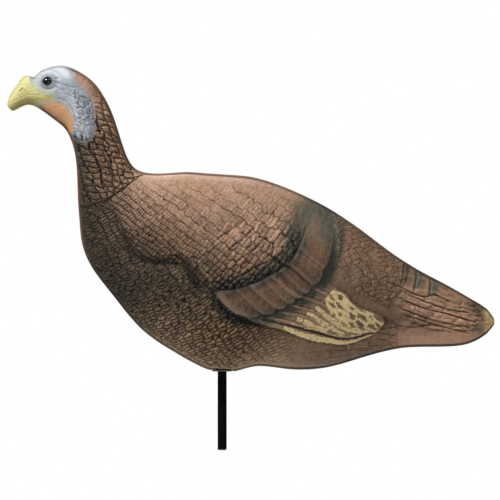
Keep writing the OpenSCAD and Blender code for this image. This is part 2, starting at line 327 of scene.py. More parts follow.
def readShell():
    # rings of points over the left shell's outside, in mm: [ring, column, (x, y, z)]
    source = frame["nodes"]["left_shell"].data
    source.calc_loop_triangles()
    places = [v.co.copy() for v in source.vertices]
    tree = BVHTree.FromPolygons(places, [t.vertices for t in source.loop_triangles], all_triangles=True)
    at, spine = ringPlaces()
    low, high, calm = readOutline(tree, at, spine)
    span = np.linalg.norm(high - low, axis=1)

    def spread(share):
        return low[:, :1] + (high - low)[:, :1] * share, low[:, 1:] + (high - low)[:, 1:] * share

    rim = np.minimum(bird["rimWidth"] / span, bird["rimShare"])[:, None]
    share = rim + (1 - 2 * rim) * (1 - np.cos(np.linspace(0, math.pi, bird["columns"]))) / 2
    x, z = spread(share)
    depth = np.full(x.shape, np.nan)
    socket = np.hypot(x - eye.x, z - eye.z) < bird["eyeSocket"]
    away = 200 * mm
    for i, j in zip(*np.nonzero(~socket)):
        start = Vector((x[i, j] * mm, -away, z[i, j] * mm))
        hit = tree.ray_cast(start, Vector((0, 1, 0)), away - mm)[0]
        if hit:
            depth[i, j] = -hit.y / mm
    for column in depth.T:
        kept = np.flatnonzero(~np.isnan(column))
        column[:] = np.interp(np.arange(len(at)), kept, column[kept])
    thick = np.minimum(bird["rimThickness"], depth.max(axis=1) * 0.5)
    depth[:, 0] = depth[:, -1] = thick
    even = blurRows(depth.T, 4).T
    depth = np.maximum(blurRows(even, 1) + calm * (blurRows(even, 5) - blurRows(even, 1)), thick[:, None])
    depth[:, 0] = depth[:, -1] = thick

    # columns moved apart over the rim and closer on the broad side
    place = np.linspace(0, 1, bird["columns"])
    for i in range(len(at)):
        along = np.hypot(np.diff(share[i]) * span[i], np.diff(depth[i]))
        run = np.concatenate([[0], np.cumsum(along)])
        wanted = (bird["evenness"] * place + (1 - bird["evenness"]) * run / run[-1]) * run[-1]
        share[i] = np.interp(wanted, run, share[i].copy())
        depth[i] = np.interp(wanted, run, depth[i].copy())
    x, z = spread(share)
    return {"low": low, "high": high, "span": span, "share": share, "thick": thick, "at": at,
            "grid": np.stack([x, -depth, z], axis=2)}


eye = middle(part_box("left_eye")) / mm
shell = readShell()
ringCount, columnCount = shell["grid"].shape[:2]
print("body: read", ringCount, "rings of", columnCount, "from the CAD shell")

# where each point is: seen from the side (sideX, sideZ), and with the side rolled out flat (flatX, flatZ)
sideX, sideZ = shell["grid"][..., 0], shell["grid"][..., 2]
steps = np.linalg.norm(np.diff(shell["grid"], axis=1), axis=2)
fromFoot = np.concatenate([np.zeros((ringCount, 1)), np.cumsum(steps, axis=1)], axis=1)
fromTop = fromFoot[:, -1:] - fromFoot
mid = columnCount // 2
reachOut = fromFoot - fromFoot[:, mid:mid + 1]
slant = (shell["high"] - shell["low"]) / shell["span"][:, None]
flatX = sideX[:, mid:mid + 1] + slant[:, :1] * reachOut
flatZ = sideZ[:, mid:mid + 1] + slant[:, 1:] * reachOut


def pathDistance(points, reach=1e9, steps=28):
    # distance to a smooth path, how far along it (0 to 1), and which side of it: + is left of its travel
    path = curveThrough(points, steps)
    gap = np.full(sideX.shape, 1e6)
    along = np.zeros(sideX.shape)
    side = np.zeros(sideX.shape)
    low, high = path.min(0) - reach, path.max(0) + reach
    near = (sideX > low[0]) & (sideX < high[0]) & (sideZ > low[1]) & (sideZ < high[1])
    px, pz = sideX[near], sideZ[near]
    best, where, left = gap[near], along[near], side[near]
    for k in range(steps - 1):
        (ax, az), (dx, dz) = path[k], path[k + 1] - path[k]
        t = np.clip(((px - ax) * dx + (pz - az) * dz) / (dx * dx + dz * dz), 0, 1)
        ex, ez = px - ax - t * dx, pz - az - t * dz
        d = np.hypot(ex, ez)
        closer = d < best
        best = np.where(closer, d, best)
        where = np.where(closer, (k + t) / (steps - 1), where)
        left = np.where(closer, np.sign(dx * ez - dz * ex), left)
    gap[near], along[near], side[near] = best, where, left
    return gap, along, side


def stroke(path, width, power=2):
    # 1 along a path, fading out over its width
    return np.exp(-(pathDistance(path, reach=4 * width)[0] / width) ** power)


def insideOf(outline, soft):
    # 1 inside a straight-sided outline, 0 outside, with a soft edge
    x, z = sideX, sideZ
    inside = np.zeros(x.shape, bool)
    gap = np.full(x.shape, 1e6)
    outline = [tuple(point) for point in outline]
    for (ax, az), (bx, bz) in zip(outline, outline[1:] + outline[:1]):
        dx, dz = bx - ax, bz - az
        if not (dx or dz):
            continue
        t = np.clip(((x - ax) * dx + (z - az) * dz) / (dx * dx + dz * dz), 0, 1)
        gap = np.minimum(gap, np.hypot(x - ax - t * dx, z - az - t * dz))
        if dz:
            crosses = (az > z) != (bz > z)
            inside ^= crosses & (x < ax + (z - az) * dx / dz)
    return ramp(np.where(inside, gap, -gap), -soft, soft)


# places below are in mm, seen from the bird's left side
zones = {
    "bareSkin": [(-311, 545), (-227, 552), (-220, 533), (-203, 514), (-189, 502), (-181, 489), (-177, 470),
                 (-176, 453), (-179, 436), (-188, 428), (-208, 430), (-225, 433), (-311, 433)],
    "neck": [(-220, 430), (-188, 428), (-179, 436), (-176, 453), (-177, 470), (-181, 489), (-189, 502),
             (-203, 514), (-185, 545), (-130, 450), (-96, 395), (-127, 372), (-144, 360), (-165, 346),
             (-202, 337), (-225, 337), (-222, 430)],
    "mantle": [(-225, 337), (-165, 346), (-144, 360), (-127, 372), (-96, 395), (-96, 405), (109, 405),
               (124, 350), (120, 325), (111, 293), (93, 258), (60, 240), (25, 224), (-10, 224), (-34, 230),
               (-43, 248), (-52, 260), (-84, 260), (-105, 263), (-130, 291), (-147, 330), (-154, 337)],
    "ripples": [(-225, 337), (-154, 337), (-147, 330), (-137, 312), (-130, 291), (-120, 273), (-105, 263),
                (-84, 260), (-64, 262), (-52, 260), (-43, 248), (-34, 230), (-10, 228), (0, 206), (39, 181),
                (90, 165), (123, 151), (105, 80), (-31, 80), (-200, 180), (-240, 293)],
    "wing": [(-13, 225), (-34, 262), (11, 293), (100, 345), (134, 353), (152, 330), (158, 296), (156, 264),
             (146, 234), (160, 224), (174, 216), (181, 205), (194, 197), (211, 191), (222, 186), (227, 178),
             (219, 168), (206, 160), (188, 153), (166, 148), (125, 153), (90, 167), (43, 179), (14, 190)],
    "rump": [(150, 350), (160, 296), (158, 260), (176, 222), (232, 196), (256, 232), (262, 262), (190, 330)],
    "warts": [(-211, 505), (-182, 490), (-174, 455), (-178, 426), (-212, 426), (-203, 470)],
    "throat": [(-254, 485), (-235, 486), (-222, 482), (-213, 472), (-208, 462), (-207, 446), (-215, 438),
               (-240, 450), (-266, 476)],
    "creamFan": [(141, 210), (153, 223), (167, 219), (180, 204), (193, 196), (211, 190), (222, 185),
                 (226, 177), (219, 169), (213, 164), (188, 167), (168, 176), (150, 190)],
    "face": [(-311, 545), (-226, 552), (-213, 530), (-201, 512), (-189, 499), (-182, 486), (-178, 470),
             (-177, 453), (-181, 438), (-190, 431), (-207, 436), (-225, 433), (-311, 433)],
    "tail": [(236, 210), (262, 222), (288, 216), (350, 205), (366, 184), (350, 162), (290, 164), (262, 176)],
}
arcs = {
    "innerBand": [(-10, 220), (20, 225), (46, 233), (67, 243), (83, 253), (96, 264), (105, 278), (110, 296),
                  (112, 316), (120, 338)],
    "outerBand": [(-6, 209), (14, 190), (39, 185), (67, 190), (95, 203), (120, 220), (140, 242), (151, 270),
                  (154, 301), (146, 328)],
    "feathers": [(56, 183), (94, 174), (133, 164), (171, 155), (209, 164)],
    "cropFold": [(-160, 345), (-147, 318), (-137, 300), (-130, 286), (-120, 273), (-105, 265), (-84, 262),
                 (-64, 263), (-52, 260), (-43, 248), (-34, 230)],
    "arch": [(103, 290), (107, 310), (117, 328), (130, 338), (143, 326), (151, 300)],
    "underBelly": [(158, 117), (190, 127), (232, 138)],
    "mouth": [(-297, 476), (-285, 484), (-270, 488), (-252, 489), (-240, 491)],
    "beakRoot": [(-271, 530), (-270, 520), (-268, 511), (-262, 504), (-254, 500), (-246, 496), (-244, 488),
                 (-262, 474)],
}
swells = [
    # height, radius, stroke: the big soft shapes under the feathers
    (-2.8, 11, arcs["cropFold"]),
    (-1.4, 4.5, arcs["cropFold"]),
    (-2.4, 9, [(-58, 266), (-47, 254), (-38, 238)]),
    (1.8, 24, [(-135, 250), (-100, 232), (-65, 222)]),
    (2.2, 34, [(-20, 270), (30, 290), (70, 310)]),
    (1.6, 16, [(-190, 410), (-178, 375)]),
    (-1.6, 9, [(-168, 430), (-158, 395), (-148, 368)]),
    (1.4, 8, [(-160, 420), (-146, 392)]),
    (-1.8, 8, [(228, 176), (262, 170), (300, 168)]),
    (1.6, 9, [(270, 192), (330, 182)]),
]
grooves = [
    # width, depth, then the path: folds of the neck
    (2.8, 2.4, [(-177, 462), (-172, 449), (-168, 438)]),
    (2.8, 2.4, [(-167, 432), (-161, 416), (-155, 405), (-153, 391), (-147, 373)]),
    (2.6, 2.0, [(-181, 424), (-175, 405), (-169, 388), (-167, 371), (-161, 356)]),
    (2.2, 1.6, [(-190, 384), (-181, 375), (-169, 365)]),
    (2.6, 1.9, [(-165, 346), (-154, 353), (-144, 360), (-134, 367), (-122, 378)]),
    (2.2, 1.5, [(-196, 337), (-185, 340), (-174, 343)]),
    (2.2, 1.5, [(-186, 431), (-183, 419), (-178, 407)]),
    (2.2, 1.5, [(-150, 362), (-141, 371), (-133, 381)]),
    # long cracks of the shoulder
    (1.5, 1.3, [(-11, 290), (3, 300), (15, 308), (34, 323)]),
    (1.5, 1.3, [(8, 279), (25, 291), (36, 300), (48, 312)]),
    (1.5, 1.4, [(20, 263), (36, 274), (50, 284), (64, 298)]),
    (1.4, 1.1, [(-32, 305), (-20, 297), (-8, 288)]),
    (1.4, 1.1, [(-4, 281), (8, 272), (21, 262)]),
    (1.7, 1.5, [(-7, 227), (20, 240), (48, 256), (73, 267)]),
    (1.4, 1.0, [(48, 311), (62, 318), (70, 329), (78, 340)]),
    (2.2, 2.3, [(66, 272), (76, 266), (84, 259), (95, 254), (105, 246), (116, 236), (127, 229)]),
    # between the long wing feathers
    (2.4, 2.6, arcs["feathers"]),
    # tail feathers
    (1.7, 1.6, [(248, 223), (277, 209), (315, 196), (353, 190)]),
    (1.9, 1.9, [(242, 214), (277, 199), (315, 189), (354, 178)]),
    (1.7, 1.6, [(239, 202), (263, 192), (288, 183), (318, 176), (356, 168)]),
    (1.5, 1.2, [(249, 190), (277, 181), (319, 169), (353, 165)]),
    (1.5, 1.2, [(228, 178), (263, 171), (291, 174), (326, 167), (351, 161)]),
    (1.7, 1.6, [(232, 234), (241, 230), (249, 227), (266, 218), (283, 213), (287, 214), (298, 216),
                (318, 207), (349, 199)]),
    (1.5, 0.9, [(241, 270), (239, 240)]),
    (1.7, 1.6, [(256, 262), (249, 230)]),
    (1.7, 1.6, [(272, 251), (267, 219)]),
    (1.7, 1.6, [(291, 240), (289, 215)]),
    # beak and face
    (1.7, 0.4, [(-298, 480), (-293, 486), (-283, 491), (-273, 495), (-261, 495), (-248, 493)]),
    (1.6, 1.1, [(-234, 514), (-225, 511), (-216, 508), (-204, 505)]),
    (1.5, 1.0, [(-235, 510), (-227, 504), (-217, 500)]),
    (1.5, 0.9, [(-254, 510), (-248, 504), (-241, 503), (-233, 506)]),
    (1.4, 0.9, [(-236, 518), (-228, 519), (-220, 516)]),
    (1.5, 0.9, [(-224, 500), (-212, 494), (-200, 490)]),
    (1.5, 0.9, [(-214, 484), (-206, 470), (-203, 452)]),
    (1.5, 0.9, [(-204, 488), (-195, 474), (-191, 456)]),
    (2.5, 0.5, [(-242, 493), (-231, 490), (-220, 487), (-211, 479), (-206, 466), (-204, 452)]),
]
quills = [
    # the long wing feathers' edges, from the coverts to the wing's tip
    [(60, 189), (109, 177), (137, 169), (172, 161), (209, 164)],
    [(74, 196), (116, 188), (144, 175), (179, 164), (210, 165)],
    [(88, 206), (126, 196), (151, 181), (182, 169), (213, 167)],
    [(105, 217), (137, 207), (162, 192), (189, 176), (217, 168)],
    [(122, 229), (151, 217), (174, 202), (199, 183), (221, 172)],
]
grooves += [(1.4, 1.0, path) for path in quills]
nostril = [(-283, 500), (-281, 501), (-279, 504)]


def lattice(rows, columns, seed, wobble=0.3):
    # numbers the creases of two crossing families on the rolled-out side; a family is its slope, how the
    # slope changes along the bird, and its spacing in mm at chosen levels
    marks = np.arange(-900, 1100)
    numbered = []
    for k, (slope, bend, spacing) in enumerate((columns, rows)):
        lean = np.arctan(slope + bend * flatX)
        level = (flatZ - slope * flatX - bend * flatX**2 / 2) * np.cos(lean)
        tally = np.cumsum(1 / np.interp(marks, *zip(*spacing)))
        numbered.append(np.interp(level, marks, tally) + wobble * waves(flatX, flatZ, seed + k, 55)
                        + 0.14 * waves(flatX, flatZ, seed + 5 + k, 15))
    return numbered


def edgeFade():
    # carving dies out towards the flat rim and the two tips
    tips = ramp(sideX, -301, -294) * (1 - ramp(sideX, 377, 383))
    return tips * ramp(np.minimum(fromTop, fromFoot), 0.5, 6)


def makePlates(masks, seed):
    # the plates of skin and feather that the carving and the paint both follow: where each point lies
    # between the creases, how high the plates stand, how soft the creases are and how loose their order
    uneven = waves(flatX, flatZ, seed + 4, 24)
    broken = waves(flatX, flatZ, seed + 8, 34)
    calm = 1 - 0.8 * np.clip(uneven, 0, 1)
    knobby = 1 - ramp((sideZ + 0.78 * sideX) * 0.788, 165, 245)
    broad = ramp(sideX, -30, 30) * (1 - ramp(sideZ, 285, 330))
    fade = ramp(fromTop, 12 + 7 * uneven, 88) * (1 - ramp(sideX, 88, 112) * ramp(sideZ, 290, 318))
    layers = [
        # mask, height in mm, softness, looseness, creases
        (masks["neck"], 1.9 * ramp(fromTop, 1, 7) * (1 - ramp(sideZ, 450, 515)), 0.15, 0.42,
         lattice((0.30, 0.002, ((0, 8.5),)), (-2.6, 0, ((0, 13),)), seed + 10, 0.2)),
        (masks["mantle"], fade * (1.4 + 1.2 * knobby + 1.0 * broad) * (1.1 + 0.4 * broken),
         0.06 + 0.08 * knobby, 0.24,
         lattice((0.86, 0.002, ((150, 8.5), (190, 7.2), (230, 5.8), (300, 5.0))),
                 (-0.78, 0, ((140, 6.0), (190, 8), (230, 12), (270, 16), (330, 20))), seed + 20, 0.2)),
        (masks["coverts"], 1.5, 0.07, 0.0, [0.5, masks["feather"]]),
        (masks["ripples"], 2.1 * (1 - 0.9 * ramp(sideX, 10, 120)) * ramp(fromFoot, 5, 26), 0.20, 0.45,
         lattice((0.58, 0.0006, ((0, 5.0),)), (-1.6, 0, ((0, 12.5),)), seed + 40)),
        (masks["rump"], 0.9 * calm, 0.06, 0.7,
         lattice((0.5, 0, ((0, 8),)), (-1.2, 0, ((0, 12),)), seed + 50)),
        (masks["rear"], 0.7 * calm * ramp(sideX, 95, 160), 0.10, 0.9,
         lattice((0.2, 0, ((0, 11),)), (-1.6, 0, ((0, 24),)), seed + 60)),
        (masks["tail"], 0.6 * ramp(fromTop, 3, 12), 0.20, 0.6,
         lattice((-0.27, 0, ((0, 5.6),)), (1.6, 0, ((0, 26),)), seed + 65)),
        (masks["warts"], 0.6 * ramp(sideZ, 425, 470), 0.45, 1.0,
         lattice((-1.2, 0, ((0, 5),)), (0.8, 0, ((0, 9),)), seed + 70)),
    ]
    order = np.sort([mask for mask, *_ in layers], axis=0)
    strongest = np.argmax([mask for mask, *_ in layers], axis=0)

    def pick(parts):
        # at each point, the part of the layer that is strongest there
        parts = np.stack([part + 0 * sideX for part in parts])
        return np.take_along_axis(parts, strongest[None], axis=0)[0]

    height = pick([rise * ramp(mask, 0.45, 0.75) for mask, rise, *_ in layers])
    height *= ramp(order[-1] - order[-2], 0.05, 0.45)
    across, down = (pick([layer[4][k] for layer in layers]) for k in (0, 1))
    return {"plates": np.stack([across, down, height * edgeFade()], axis=2),
            "softness": pick([layer[2] for layer in layers]),
            "looseness": pick([layer[3] for layer in layers])}


def carveWing(height, wing):
    # the wing stands proud of the body, with a fan of coverts between its two bands
    x, z = sideX, sideZ
    height += 2.0 * wing * (1 - ramp(z, 216, 236 + 0.6 * np.clip(90 - x, 0, 200)))
    inner = pathDistance(arcs["innerBand"])[0]
    outer = pathDistance(arcs["outerBand"])[0]
    ring = [*curveThrough(arcs["innerBand"], 30), *curveThrough(arcs["outerBand"], 30)[::-1]]
    between = insideOf(ring, 1.2) * (1 - ramp(z, 284, 316))
    level = (z + 0.9 * x) * 0.743 + 1.5 * waves(x, z, 21, 30)
    feather = np.interp(level, [150, 177, 195, 212, 225, 238, 252, 279, 340], np.arange(9))
    place = feather - np.floor(feather)
    scallop = 3.6 * (2 * place - 1) ** 2
    blade = between * ramp(outer, scallop - 0.7, scallop + 0.7)
    overlap = (1 - place) * ramp(place, 0.0, 0.06)
    barbs = np.sin((z * 0.5 - x * 0.9) * 2.1 + 2 * np.sin(x / 9))
    height += blade * (0.7 + 1.4 * overlap * (1 - ramp(feather, 6.9, 7.3)) + 0.14 * barbs)
    height += between * 0.5 * (1 - ramp(inner, 0, 9))
    lower = wing * (1 - between) * ramp(-(z - 235), 0, 12) * ramp(x, 20, 60)
    height += lower * 0.22 * np.sin((z + 0.55 * x) * 1.5 + np.sin(x / 6))
    return {"between": between, "place": place, "feather": feather,
            "coverts": blade * (1 - ramp(feather, 6.9, 7.6))}


def carveTail(height, seed):
    # ridges that close in on the tip
    tail = ramp(sideX, 232, 262) * (1 - 0.7 * ramp(sideX, 350, 368))
    fan = np.arctan2(sideZ - 176, 430 - sideX)
    ridges = np.sin(fan * 72 + 1.2 * np.sin(sideX / 17) + 1.5 * waves(flatX, flatZ, seed + 4, 24))
    height += tail * ramp(sideZ, 160, 170) * (0.8 + 0.7 * ridges)
    return tail


def carveFace(height, bare):
    # bare skin with a lidded eye, a nostril and a bony beak
    fromEye = np.hypot(sideX - eye.x, (sideZ - eye.z) * 1.12)
    height += bare * (0.35 * np.exp(-((fromEye - 8.5) / 1.3) ** 2) - 0.9 * np.exp(-(fromEye / 6.3) ** 4))
    height -= bare * 0.8 * np.exp(-((fromEye - 13) / 4.0) ** 2) * ramp(sideX, -262, -240)
    height += 0.9 * stroke([(-262, 519), (-253, 526), (-243, 528), (-232, 524), (-226, 517)], 2.8)
    gap = pathDistance(nostril, reach=15)[0]
    height += 0.4 * np.exp(-((gap - 2.4) / 0.9) ** 2) - 0.8 * np.exp(-(gap / 1.1) ** 2)
    height += 2.0 * np.exp(-(np.hypot(sideX + 272, sideZ - 521) / 4.5) ** 2)


def makeRelief(seed):
    # what is carved one by one: swells, feathers and grooves
    x, z = sideX, sideZ
    height = np.zeros(x.shape)
    wing = insideOf(zones["wing"], 1.6)
    bare = insideOf(zones["bareSkin"], 4)
    neck = insideOf(zones["neck"], 3) * (1 - bare)
    mantle = insideOf(zones["mantle"], 2.5) * (1 - neck) * (1 - bare)
    for lift, radius, path in swells:
        height += lift * stroke(path, radius)
    masks = carveWing(height, wing)
    tail = carveTail(height, seed)

    cut = np.zeros(x.shape)
    for width, depth, path in grooves:
        gap, along, side = pathDistance(path, reach=4 * width)
        ends = ramp(along, 0, 0.18) * (1 - ramp(along, 0.82, 1))
        line = (0.25 + 0.75 * ends) * np.exp(-(gap / (0.55 * width)) ** 2)
        height -= depth * line
        # the deeper grooves are kept here for their painted shade
        cut = np.maximum(cut, line * ramp(depth, 0.8, 2.0))
    carveFace(height, bare)

    # all over, the unevenness of hand-cut moulds
    height += bare * 0.15 * waves(flatX, flatZ, seed + 3, 9)
    height += (1 - bare) * 0.12 * waves(flatX, flatZ, seed + 6, 6)
    height += (1 - bare) * 0.15 * waves(flatX, flatZ, seed + 7, 13)
    masks.update({
        "bare": bare, "cut": cut, "neck": neck, "mantle": mantle,
        "ripples": insideOf(zones["ripples"], 2.5) * (1 - neck) * (1 - mantle),
        "rump": insideOf(zones["rump"], 14),
        "rear": 0.95 * ramp(x, 85, 110) * (1 - wing) * (1 - ramp(z, 170, 200)) * (1 - tail),
        "tail": insideOf(zones["tail"], 5),
        "warts": bare * insideOf(zones["warts"], 8),
    })
    return np.maximum(height, bird["deepest"]) * edgeFade(), masks


def linear(shade):
    # from the numbers of a colour mixer, 0 to 255, to the share of light given back
    value = np.array(shade) / 255
    return np.where(value <= 0.04045, value / 12.92, ((value + 0.055) / 1.055) ** 2.4)


chips = {
    "backTan": (158, 129, 104), "mantleTan": (170, 137, 114), "saddleBrown": (132, 104, 82),
    "umber": (98, 76, 56), "olive": (112, 90, 60), "bellyTan": (156, 130, 102), "darkBreastAndFoldShade": (53, 42, 24),
    "bandBlack": (24, 26, 20), "bandShade": (50, 52, 43), "bandGreen": (74, 78, 68), "rust": (118, 84, 60),
    "cream": (214, 192, 138), "beakYellow": (178, 174, 118), "beakOlive": (150, 138, 82),
    "skinBlue": (116, 126, 138), "skinPale": (203, 208, 214), "skinDark": (42, 46, 52),
    "throat": (186, 142, 102), "nape": (162, 127, 102), "tipGold": (216, 186, 132),
    "rimDark": (50, 42, 36), "rimRed": (112, 80, 66), "grooveShade": (34, 27, 21), "faceGreen": (158, 164, 136),
    "tailRose": (178, 140, 116), "lid": (20, 20, 21), "neckOlive": (48, 44, 32),
}
chips = {name: linear(shade) for name, shade in chips.items()}
sprays = [
    # chip, radius in mm, strength, then the stroke
    ("mantleTan", 60, 0.8, [(-110, 350), (0, 350), (90, 330)]),
    ("mantleTan", 30, 0.6, [(-100, 380), (-20, 378), (50, 372), (110, 352)]),
    ("mantleTan", 26, 0.8, [(30, 300), (80, 300)]),
    ("saddleBrown", 75, 0.9, [(170, 300), (240, 240), (320, 200)]),
    ("umber", 42, 0.9, [(125, 215), (190, 215), (235, 200)]),
    ("saddleBrown", 40, 0.95, [(70, 115), (150, 122), (200, 140)]),
    ("umber", 44, 0.8, [(-10, 160), (40, 160), (70, 165)]),
    ("olive", 75, 1.0, [(-150, 210), (-90, 165), (-30, 130), (40, 135)]),
    ("olive", 50, 0.8, [(-60, 215), (0, 190), (40, 175)]),
    ("bellyTan", 40, 0.9, [(-95, 160), (-50, 128), (0, 112), (70, 120)]),
    ("darkBreastAndFoldShade", 48, 1.0, [(-190, 330), (-175, 275), (-130, 220)]),
    ("darkBreastAndFoldShade", 36, 0.85, [(-120, 270), (-75, 240), (-40, 232)]),
    ("darkBreastAndFoldShade", 34, 0.9, [(-205, 430), (-200, 390), (-190, 345)]),
    # a thin painted shadow along the crop fold
    ("darkBreastAndFoldShade", 9, 0.55, [(-158, 338), (-147, 314), (-135, 290), (-120, 270), (-104, 262), (-84, 259),
                             (-62, 260), (-50, 254), (-42, 244), (-36, 234)]),
    ("mantleTan", 25, 0.95, [(-164, 472), (-144, 425), (-124, 392)]),
    ("umber", 24, 0.8, [(-178, 430), (-168, 395), (-150, 365)]),
    ("neckOlive", 12, 0.8, [(-200, 424), (-193, 398)]),
    ("tailRose", 20, 0.95, [(270, 208), (300, 196), (345, 184)]),
    ("tailRose", 13, 0.7, [(250, 158), (290, 156), (335, 160)]),
    ("tailRose", 9, 0.9, [(300, 174), (350, 168)]),
    ("tailRose", 22, 0.8, [(285, 190), (340, 174)]),
    ("umber", 30, 0.85, [(120, 124), (215, 144)]),
    ("umber", 10, 0.7, [(225, 186), (262, 182), (285, 178)]),
    ("bandGreen", 5, 0.8, [(259, 256), (256, 238)]),
    ("bandGreen", 7, 0.95, [(277, 246), (273, 229)]),
    ("bandGreen", 7, 0.95, [(298, 236), (294, 221)]),
    ("bandShade", 9, 0.75, [(352, 201), (361, 191)]),
    ("bandGreen", 6, 0.8, [(353, 171), (364, 166)]),
    ("tipGold", 8, 1.0, [(375, 192), (379, 184), (377, 174), (374, 165)]),
    ("cream", 5, 0.8, [(374, 190), (379, 180)]),
]
creamBars = [
    # half width in mm, strength, then the bar
    (4.2, 1.0, [(88, 171), (101, 165), (116, 160), (138, 155), (166, 151), (180, 153), (195, 158),
                (207, 163)]),
    (1.5, 0.7, [(96, 178), (109, 172), (125, 167), (142, 162), (171, 160), (193, 161)]),
    (4.4, 0.8, [(106, 183), (119, 177), (132, 171), (145, 167)]),
    (3.8, 0.8, [(119, 191), (129, 185), (141, 177), (155, 169), (167, 163)]),
    (4.0, 0.85, [(132, 198), (141, 190), (155, 180), (167, 172), (180, 167), (200, 165)]),
]


def spray(paint, chip, mask):
    paint += (chips[chip] - paint) * np.clip(mask, 0, 1)[..., None]


def makeStencil(seed):
    # where the cream went on through a stencil: about 1 inside its marks, 0 outside
    x, z = sideX, sideZ
    mask = np.zeros(x.shape)
    for half, strength, path in creamBars:
        gap, along, side = pathDistance(path, reach=4 * half)
        taper = half * (0.55 + 0.45 * np.sin(np.pi * np.clip(along, 0.15, 0.85)))
        mask = np.maximum(mask, strength * (1 - ramp(gap, taper - 1.0, taper + 1.0)))
    # the fan is cream with rows of long brown lozenges left bare
    fan = insideOf(zones["creamFan"], 1.2)
    rowGap, pitch = 8.2, 20
    row = (x * 0.69 + z * 0.72) / rowGap + 0.3 * waves(x, z, seed + 12, 22)
    along = (x * 0.72 - z * 0.69) / pitch + 0.5 * (np.floor(row) % 2) + 0.3 * waves(x, z, seed + 13, 19)
    size = 0.45 + 0.75 * cellNumber(np.floor(along), np.floor(row), seed * 31 + 5)
    long, broad = np.abs(along % 1 - 0.5) * pitch / 10.5, np.abs(row % 1 - 0.5) * rowGap / 4.2
    mask = np.maximum(mask, fan * ramp((long + broad) / size, 0.7, 1.2))
    return mask * (1 - 0.95 * stroke(arcs["feathers"], 1.9))


def paintWing(paint, masks, wobble, seed):
    # rusty coverts between two dark bands, joined by a greenish arch
    inner, alongIn, sideIn = pathDistance(arcs["innerBand"])
    outer, alongOut, sideOut = pathDistance(arcs["outerBand"])
    between = masks["between"]
    spray(paint, "umber", 0.85 * between)
    rust = (1 - ramp(sideZ, 284, 300)) * (0.55 + 0.3 * waves(sideX, sideZ, seed + 81, 22))
    spray(paint, "rust", between * rust * ramp(inner, 4, 14) * ramp(outer, 2, 9))
    tips = np.exp(-((masks["place"] - 0.93) / 0.07) ** 2)
    spray(paint, "backTan", 0.55 * between * tips * ramp(outer, 3, 9))
    gap = pathDistance(arcs["arch"])[0]
    spray(paint, "bandGreen", 0.9 * np.exp(-(np.maximum(gap + 2.5 * wobble, 0) / 19) ** 3))
    width = np.interp(alongIn, [0, 0.1, 0.45, 0.8, 1], [9, 14, 14, 11, 9])
    across = inner * sideIn
    spray(paint, "bandShade", 0.9 * np.exp(-((np.abs(across - 7) + wobble) / width) ** 4)
          * (1 - 0.9 * ramp(alongIn, 0.7, 0.9)))
    spray(paint, "bandBlack", 0.9 * np.exp(-((across - 0.5) / 6.5) ** 2) * (1 - ramp(alongIn, 0.62, 0.85)))
    width = np.interp(alongOut, [0, 0.1, 0.3, 0.6, 0.85, 1], [6, 9, 10, 10.5, 12, 12])
    across = np.maximum(np.abs(outer * sideOut + 4) + 0.7 * wobble, 0) / width
    spray(paint, "bandShade", 0.92 * np.exp(-across ** 3) * (1 - 0.8 * ramp(alongOut, 0.78, 0.93)))
    spray(paint, "bandBlack", 0.9 * np.exp(-(across / 0.75) ** 3) * (1 - ramp(alongOut, 0.7, 0.9)))
    spray(paint, "umber", 0.7 * insideOf(zones["creamFan"], 3))

    # thin lines: pale just under the quills, dark between the long feathers, and a painted shadow under the
    # belly
    def line(path, chip, width, strength, start, full, fades=1.0):
        gap, along, side = pathDistance(path, reach=8 * width)
        shown = ramp(along, start, full) * (1 - ramp(along, fades, fades + 0.3))
        spray(paint, chip, strength * shown * np.exp(-(gap / width) ** 2))

    for quill in quills:
        line([(x, z - 1.6) for x, z in quill], "mantleTan", 1.2, 0.55, 0, 0.1, fades=0.6)
    line(arcs["feathers"], "bandBlack", 1.9, 0.95, 0.15, 0.4)
    # a painted shadow along the belly's underside, above the rim
    line(arcs["underBelly"], "rimDark", 4, 0.9, 0, 0.3)


def paintHead(paint, masks, crest, wobble, seed):
    x, z = sideX, sideZ
    bare = masks["bare"]
    spray(paint, "nape", np.maximum(bare, ramp(-x, 172, 190)) * ramp(z, 455, 495))
    face = insideOf(zones["face"], 8)
    spray(paint, "skinBlue", face)
    spray(paint, "skinPale", face * 0.8 * stroke([(-252, 534), (-238, 540), (-226, 537), (-219, 528)], 12))
    # pale dabs on the raised skin: partly dry-brush, partly painted highlight
    paleDabsAndHighlights = 0.45 * crest + 0.15 * np.maximum(wobble, 0)
    spray(paint, "skinPale", face * paleDabsAndHighlights * ramp(np.hypot(x - eye.x, z - eye.z), 8, 13))
    spray(paint, "skinPale", face * 0.35 * stroke([(-208, 486), (-200, 468), (-196, 446)], 13))
    low = np.exp(-((z - 434 + 3 * wobble) / 8) ** 2) * ramp(face, 0.15, 0.5)
    spray(paint, "skinDark", low * ramp(waves(flatX, flatZ, seed + 82, 7), -0.3, 0.1))
    throat = insideOf(zones["throat"], 4)
    spray(paint, "throat", 0.97 * throat * ramp(x, -262, -246))
    edge, along, side = pathDistance(arcs["beakRoot"])
    spray(paint, "faceGreen", 0.65 * bare * np.exp(-(edge / 13) ** 2) * (1 - throat))
    beak = ramp(-edge * side + 1.5 * wobble, -4.5, 4.5)
    spray(paint, "beakYellow", beak * bare * (1 - throat * ramp(x, -262, -246)))
    spray(paint, "skinPale", 0.8 * np.exp(-(np.hypot(x + 271, z - 523) / 4) ** 2))
    spray(paint, "beakOlive", 0.8 * stroke(arcs["mouth"], 4.5))
    spray(paint, "beakOlive", 0.45 * stroke(nostril, 1.5))
    fromEye = np.hypot(x - eye.x + 0.4, (z - eye.z) * 1.1) + 1.1 * waves(x, z, 14, 7)
    spray(paint, "skinBlue", bare * 0.8 * np.exp(-(fromEye / 11) ** 4))
    spray(paint, "lid", 0.93 * np.exp(-(fromEye / 8.4) ** 6))


